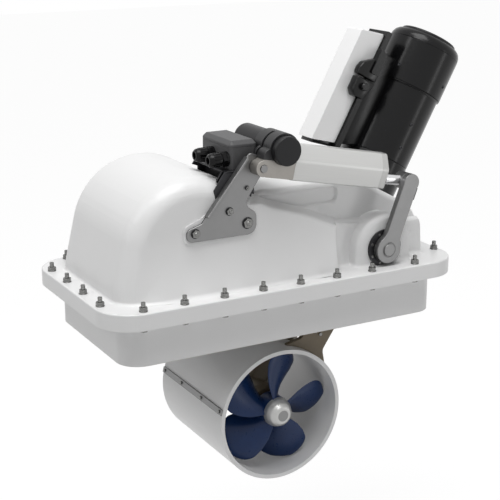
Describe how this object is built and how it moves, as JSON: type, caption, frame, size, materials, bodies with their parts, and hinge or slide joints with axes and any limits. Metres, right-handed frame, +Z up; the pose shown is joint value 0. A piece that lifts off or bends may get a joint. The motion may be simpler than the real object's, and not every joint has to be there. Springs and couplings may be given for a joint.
{
  "type": "retractable bow thruster",
  "caption": "Retractable bow thruster: a domed housing on a bolted flange, with a tunnel and propeller on a leg swung by an actuator and driven by a motor on top.",
  "frame": {"origin": "centre of the housing flange's top face", "axes": "+Z up out of the hull, +X along the housing towards the motor, -Y the side with the actuator, where the propeller faces"},
  "size_m": [0.8551, 0.392, 0.854],
  "materials": {
    "gelcoat_white": "satin",
    "gasket_rubber": "matt",
    "stainless": "satin",
    "dark_steel": "satin",
    "bronze": "satin",
    "motor_black": "satin",
    "lid_black": "satin",
    "alloy_tube": "satin",
    "alloy_warm": "satin",
    "black_plastic": "matt",
    "grey_plastic": "matt",
    "cover_white": "satin",
    "leg_paint": "satin",
    "blade_blue": "satin",
    "nose_silver": "satin",
    "gear_steel": "satin",
    "copper_iron": "satin"
  },
  "bodies": {
    "housing": {"housing_shell": "gelcoat_white", "hull_base": "gelcoat_white", "flange_gasket": "gasket_rubber", "flange_bolts": "stainless", "flange_nuts": "stainless", "flange_washers": "stainless", "bearing_flanges": "dark_steel", "bearing_bushes": "bronze", "bearing_screws": "stainless", "actuator_bracket": "stainless", "bracket_screws": "stainless", "bracket_pin": "stainless", "control_box": "grey_plastic", "control_box_lid": "grey_plastic", "control_box_support": "dark_steel", "cable_glands": "black_plastic", "motor_mount": "motor_black", "motor_can": "motor_black", "motor_upper_can": "motor_black", "motor_end_cap": "motor_black", "motor_lid": "lid_black", "motor_magnets": "copper_iron", "motor_bearings": "gear_steel", "controller_base": "motor_black", "controller_brackets": "motor_black", "controller_cover": "cover_white"},
    "actuator": {"actuator_tube": "alloy_tube", "actuator_end_cap": "alloy_warm", "actuator_flange": "alloy_warm", "actuator_gearbox": "alloy_warm", "actuator_motor_front": "motor_black", "actuator_motor_gear": "alloy_warm", "actuator_motor_can": "motor_black"},
    "rod": {"actuator_rod": "stainless", "rod_eye": "stainless", "rod_pin": "stainless"},
    "leg": {"crank_arm": "stainless", "crank_cap": "stainless", "crank_flag": "dark_steel", "swing_shafts": "stainless", "leg_cheeks": "leg_paint", "leg_stem": "leg_paint", "leg_bridges": "leg_paint", "leg_screws": "stainless", "tunnel_ring": "gelcoat_white", "tunnel_strip": "stainless", "gearcase": "leg_paint", "gearcase_cap": "leg_paint", "leg_bearings": "gear_steel", "shaft_seal": "gasket_rubber"},
    "propeller": {"propeller": "blade_blue", "nose_cone": "nose_silver", "propeller_shaft": "gear_steel", "crown_gear": "gear_steel"},
    "drive": {"drive_shaft": "gear_steel", "pinion_gear": "gear_steel", "coupling_ball": "gear_steel"},
    "rotor": {"motor_shaft": "gear_steel", "motor_armature": "copper_iron", "coupling_cup": "gear_steel"}
  },
  "joints": [
    {"name": "swing", "type": "hinge", "parent": "housing", "child": "leg", "pos_m": [0.215, 0, 0.033], "axis": [0, 1, 0], "range_deg": [0, 54.4]},
    {"name": "actuator_tilt", "type": "hinge", "parent": "housing", "child": "actuator", "pos_m": [-0.066, -0.146, 0.224], "axis": [0, 1, 0], "range_deg": [0, 9.72]},
    {"name": "rod_extend", "type": "slide", "parent": "actuator", "child": "rod", "axis": [0.9814, 0, -0.1921], "range_m": [0, 0.10528]},
    {"name": "propeller_spin", "type": "hinge", "parent": "leg", "child": "propeller", "pos_m": [0.00151, 0, -0.28233], "axis": [0, 1, 0], "continuous": true},
    {"name": "drive_spin", "type": "hinge", "parent": "leg", "child": "drive", "pos_m": [0.00151, 0, -0.28233], "axis": [0.5606, 0, 0.8281], "continuous": true},
    {"name": "motor_spin", "type": "hinge", "parent": "housing", "child": "rotor", "pos_m": [0.215, 0, 0.033], "axis": [0.4802, 0, 0.8771], "continuous": true}
  ],
  "couplings": [
    {"joint": "actuator_tilt", "follows": "swing", "ratio": 0.17861},
    {"joint": "rod_extend", "follows": "swing", "m_per_rad": 0.11088},
    {"joint": "drive_spin", "follows": "motor_spin", "ratio": 1},
    {"joint": "propeller_spin", "follows": "motor_spin", "ratio": -0.66667}
  ]
}
